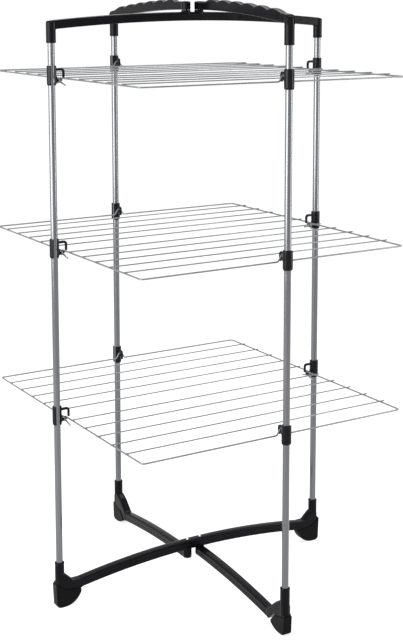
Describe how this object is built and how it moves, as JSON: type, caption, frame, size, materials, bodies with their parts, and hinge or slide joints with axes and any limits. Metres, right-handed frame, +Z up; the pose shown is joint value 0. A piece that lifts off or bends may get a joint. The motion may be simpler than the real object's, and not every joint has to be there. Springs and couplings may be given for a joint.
{
  "type": "clothes drying rack",
  "caption": "Folding tower clothes drying rack: grey tube posts, black plastic bars, clips and feet, and square wire shelves split into drop-down halves.",
  "frame": {"origin": "on the floor, under the middle of the rack", "axes": "+Z up, +X along the drying wires from the left post to the right post, +Y from the front post to the back post"},
  "size_m": [0.767, 0.8122, 1.4287],
  "materials": {
    "tube": "satin",
    "wire": "satin",
    "pin": "polished",
    "moulding": "semi-gloss",
    "clip": "semi-gloss",
    "foot": "satin"
  },
  "bodies": {
    "main_frame": {"left_post": "tube", "right_post": "tube", "top_bar": "moulding", "base_bar": "moulding", "left_foot": "foot", "right_foot": "foot", "back_top_pin": "pin", "front_top_pin": "pin", "back_base_pin": "pin", "front_base_pin": "pin", "upper_left_clip": "clip", "upper_right_clip": "clip", "middle_left_clip": "clip", "middle_right_clip": "clip", "lower_left_clip": "clip", "lower_right_clip": "clip"},
    "back_wing": {"back_post": "tube", "back_grip_arm": "moulding", "back_base_arm": "moulding", "back_foot": "foot", "upper_back_clip": "clip", "middle_back_clip": "clip", "lower_back_clip": "clip"},
    "front_wing": {"front_post": "tube", "front_grip_arm": "moulding", "front_base_arm": "moulding", "front_foot": "foot", "upper_front_clip": "clip", "middle_front_clip": "clip", "lower_front_clip": "clip"},
    "upper_back_shelf": {"upper_back_rim": "wire", "upper_back_rods": "wire"},
    "upper_front_shelf": {"upper_front_rim": "wire", "upper_front_rods": "wire"},
    "middle_back_shelf": {"middle_back_rim": "wire", "middle_back_rods": "wire"},
    "middle_front_shelf": {"middle_front_rim": "wire", "middle_front_rods": "wire"},
    "lower_back_shelf": {"lower_back_rim": "wire", "lower_back_rods": "wire"},
    "lower_front_shelf": {"lower_front_rim": "wire", "lower_front_rods": "wire"}
  },
  "joints": [
    {"name": "back_wing_swing", "type": "hinge", "parent": "main_frame", "child": "back_wing", "pos_m": [-0.018, 0, 0], "axis": [0, 0, 1], "range_deg": [0, 80], "deforming": ["upper_back_clip", "middle_back_clip", "lower_back_clip"]},
    {"name": "front_wing_swing", "type": "hinge", "parent": "main_frame", "child": "front_wing", "pos_m": [0.018, 0, 0], "axis": [0, 0, 1], "range_deg": [0, 80], "deforming": ["upper_front_clip", "middle_front_clip", "lower_front_clip"]},
    {"name": "lower_back_shelf_drop", "type": "hinge", "parent": "main_frame", "child": "lower_back_shelf", "pos_m": [0, 0, 0.4583], "axis": [1, 0, 0], "range_deg": [-84, 0]},
    {"name": "lower_front_shelf_drop", "type": "hinge", "parent": "main_frame", "child": "lower_front_shelf", "pos_m": [0, 0, 0.4583], "axis": [1, 0, 0], "range_deg": [0, 84]},
    {"name": "middle_back_shelf_drop", "type": "hinge", "parent": "main_frame", "child": "middle_back_shelf", "pos_m": [0, 0, 0.8533], "axis": [1, 0, 0], "range_deg": [-84, 0]},
    {"name": "middle_front_shelf_drop", "type": "hinge", "parent": "main_frame", "child": "middle_front_shelf", "pos_m": [0, 0, 0.8533], "axis": [1, 0, 0], "range_deg": [0, 84]},
    {"name": "upper_back_shelf_drop", "type": "hinge", "parent": "main_frame", "child": "upper_back_shelf", "pos_m": [0, 0, 1.2483], "axis": [1, 0, 0], "range_deg": [-84, 0]},
    {"name": "upper_front_shelf_drop", "type": "hinge", "parent": "main_frame", "child": "upper_front_shelf", "pos_m": [0, 0, 1.2483], "axis": [1, 0, 0], "range_deg": [0, 84]}
  ],
  "couplings": [
    {"joint": "lower_back_shelf_drop", "follows": "back_wing_swing", "ratio": -1.05},
    {"joint": "lower_front_shelf_drop", "follows": "front_wing_swing", "ratio": 1.05},
    {"joint": "middle_back_shelf_drop", "follows": "back_wing_swing", "ratio": -1.05},
    {"joint": "middle_front_shelf_drop", "follows": "front_wing_swing", "ratio": 1.05},
    {"joint": "upper_back_shelf_drop", "follows": "back_wing_swing", "ratio": -1.05},
    {"joint": "upper_front_shelf_drop", "follows": "front_wing_swing", "ratio": 1.05}
  ]
}
